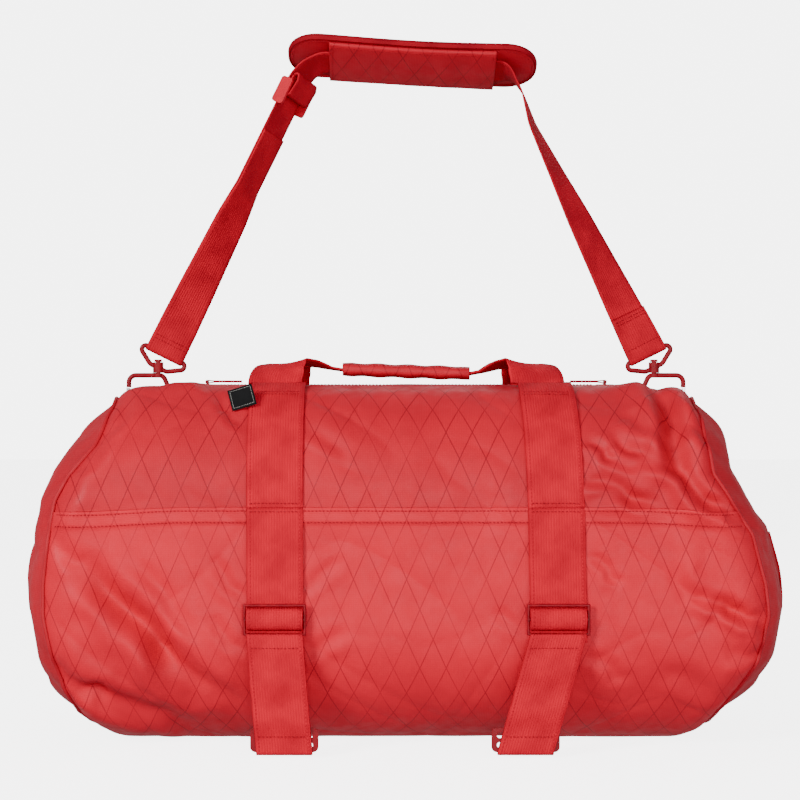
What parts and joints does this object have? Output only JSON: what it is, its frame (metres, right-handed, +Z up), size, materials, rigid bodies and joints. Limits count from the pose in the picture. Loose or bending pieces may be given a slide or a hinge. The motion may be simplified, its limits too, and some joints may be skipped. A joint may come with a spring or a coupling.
{
  "type": "duffel bag",
  "caption": "Barrel duffel bag in gridded laminate with webbing lash straps, carry handles, a zipped top opening and a clip-on padded shoulder strap.",
  "frame": {"origin": "middle of the base's underside, on the surface the bag stands on", "axes": "+X along the bag to the viewer's right, -Y is the front with the lash straps, +Z up"},
  "size_m": [0.735, 0.3426, 0.6839],
  "materials": {
    "grid_cloth": "coated laminate with a fine woven rib and a dark diamond grid",
    "webbing": "ribbed flat webbing, stitched",
    "hardware": "dark red coat over steel wire",
    "gate": "plain spring steel",
    "zip": "coil and tape",
    "board": "stiff sheet",
    "foam": "closed-cell foam with a cloth face",
    "label": "woven tag"
  },
  "bodies": {
    "bag": {"back_lower_panel": "grid_cloth", "back_upper_panel": "grid_cloth", "back_webbing": "webbing", "base_board": "board", "base_panel": "grid_cloth", "d_ring_tabs": "webbing", "end_grab_straps": "webbing", "end_panel_left": "grid_cloth", "end_panel_right": "grid_cloth", "front_lower_panel": "grid_cloth", "front_upper_panel": "grid_cloth", "front_webbing": "webbing", "lash_anchors": "webbing", "top_end_left": "grid_cloth", "top_end_right": "grid_cloth", "woven_label": "label", "zip_ends": "zip"},
    "front_flap": {"front_flap": "grid_cloth", "front_zip_tape": "zip", "front_zip_coil": "zip"},
    "back_flap": {"back_flap": "grid_cloth", "back_zip_tape": "zip", "back_zip_coil": "zip"},
    "slider_left": {"zip_slider_left": "hardware"},
    "slider_right": {"zip_slider_right": "hardware"},
    "pull_left": {"zip_pull_left": "webbing"},
    "pull_right": {"zip_pull_right": "webbing"},
    "front_handle": {"front_handle_webbing": "webbing", "front_grip_wrap": "grid_cloth"},
    "back_handle": {"back_handle_webbing": "webbing"},
    "lash_slide_left": {"lash_slide_left": "hardware", "lash_roll_left": "webbing"},
    "lash_slide_right": {"lash_slide_right": "hardware", "lash_roll_right": "webbing"},
    "lash_strap_left": {"lash_strap_left": "webbing", "lash_ring_left": "hardware"},
    "lash_strap_right": {"lash_strap_right": "webbing", "lash_ring_right": "hardware"},
    "shoulder_strap": {"shoulder_webbing": "webbing", "webbing_fold_left": "webbing", "webbing_fold_right": "webbing", "swivel_eye_left": "hardware", "swivel_eye_right": "hardware"},
    "shoulder_pad": {"pad_foam": "foam", "pad_binding": "webbing", "pad_sleeve": "grid_cloth"},
    "adjuster": {"strap_adjuster": "hardware", "adjuster_loop": "webbing"},
    "hook_left": {"snap_hook_left": "hardware"},
    "hook_right": {"snap_hook_right": "hardware"},
    "gate_left": {"hook_gate_left": "gate"},
    "gate_right": {"hook_gate_right": "gate"},
    "d_ring_left": {"d_ring_left": "hardware"},
    "d_ring_right": {"d_ring_right": "hardware"}
  },
  "joints": [
    {"name": "front_flap_fold", "type": "hinge", "parent": "bag", "child": "front_flap", "pos_m": [0, -0.057, 0.3388], "axis": [-1, 0, 0], "range_deg": [0, 80]},
    {"name": "back_flap_fold", "type": "hinge", "parent": "bag", "child": "back_flap", "pos_m": [0, 0.057, 0.3388], "axis": [1, 0, 0], "range_deg": [0, 80]},
    {"name": "slider_left_travel", "type": "slide", "parent": "bag", "child": "slider_left", "axis": [1, 0, 0], "range_m": [0, 0.158]},
    {"name": "slider_right_travel", "type": "slide", "parent": "bag", "child": "slider_right", "axis": [-1, 0, 0], "range_m": [0, 0.158]},
    {"name": "pull_left_lift", "type": "hinge", "parent": "slider_left", "child": "pull_left", "pos_m": [-0.197, 0, 0.343], "axis": [0, -1, 0], "range_deg": [0, 100]},
    {"name": "pull_right_lift", "type": "hinge", "parent": "slider_right", "child": "pull_right", "pos_m": [0.197, 0, 0.343], "axis": [0, 1, 0], "range_deg": [0, 100]},
    {"name": "front_handle_swing", "type": "hinge", "parent": "bag", "child": "front_handle", "pos_m": [0, -0.0765, 0.342], "axis": [1, 0, 0], "range_deg": [0, 110]},
    {"name": "back_handle_swing", "type": "hinge", "parent": "bag", "child": "back_handle", "pos_m": [0, 0.0765, 0.342], "axis": [-1, 0, 0], "range_deg": [0, 110]},
    {"name": "lash_left_adjust", "type": "slide", "parent": "bag", "child": "lash_slide_left", "axis": [0, 0, 1], "range_m": [0, 0.03]},
    {"name": "lash_left_swing", "type": "hinge", "parent": "lash_slide_left", "child": "lash_strap_left", "pos_m": [-0.12, -0.171, 0.1125], "axis": [-1, 0, 0], "range_deg": [0, 85]},
    {"name": "lash_right_adjust", "type": "slide", "parent": "bag", "child": "lash_slide_right", "axis": [0, 0, 1], "range_m": [0, 0.03]},
    {"name": "lash_right_swing", "type": "hinge", "parent": "lash_slide_right", "child": "lash_strap_right", "pos_m": [0.138, -0.171, 0.1125], "axis": [-1, 0, 0], "range_deg": [0, 85]},
    {"name": "strap_swing", "type": "hinge", "parent": "bag", "child": "shoulder_strap", "pos_m": [0, 0, 0.3031], "axis": [1, 0, 0], "range_deg": [-35, 35]},
    {"name": "pad_slide", "type": "slide", "parent": "shoulder_strap", "child": "shoulder_pad", "axis": [0.9988, 0, -0.0499], "range_m": [-0.008, 0.008]},
    {"name": "adjuster_travel", "type": "slide", "parent": "shoulder_strap", "child": "adjuster", "axis": [-0.4431, 0, -0.8965], "range_m": [0, 0.075]},
    {"name": "hook_left_swivel", "type": "hinge", "parent": "shoulder_strap", "child": "hook_left", "pos_m": [-0.246, 0, 0.357], "axis": [0, 0, 1], "range_deg": [-25, 25]},
    {"name": "gate_left_open", "type": "hinge", "parent": "hook_left", "child": "gate_left", "pos_m": [-0.2765, 0, 0.3235], "axis": [0, 1, 0], "range_deg": [0, 25], "stiffness_Nm_per_rad": 0.05, "springref_deg": -17.19},
    {"name": "d_ring_left_tip", "type": "hinge", "parent": "bag", "child": "d_ring_left", "pos_m": [-0.25, 0, 0.296], "axis": [0, 1, 0], "range_deg": [-6, 6]},
    {"name": "hook_right_swivel", "type": "hinge", "parent": "shoulder_strap", "child": "hook_right", "pos_m": [0.246, 0, 0.357], "axis": [0, 0, 1], "range_deg": [-25, 25]},
    {"name": "gate_right_open", "type": "hinge", "parent": "hook_right", "child": "gate_right", "pos_m": [0.2765, 0, 0.3235], "axis": [0, -1, 0], "range_deg": [0, 25], "stiffness_Nm_per_rad": 0.05, "springref_deg": -17.19},
    {"name": "d_ring_right_tip", "type": "hinge", "parent": "bag", "child": "d_ring_right", "pos_m": [0.25, 0, 0.296], "axis": [0, 1, 0], "range_deg": [-6, 6]}
  ]
}
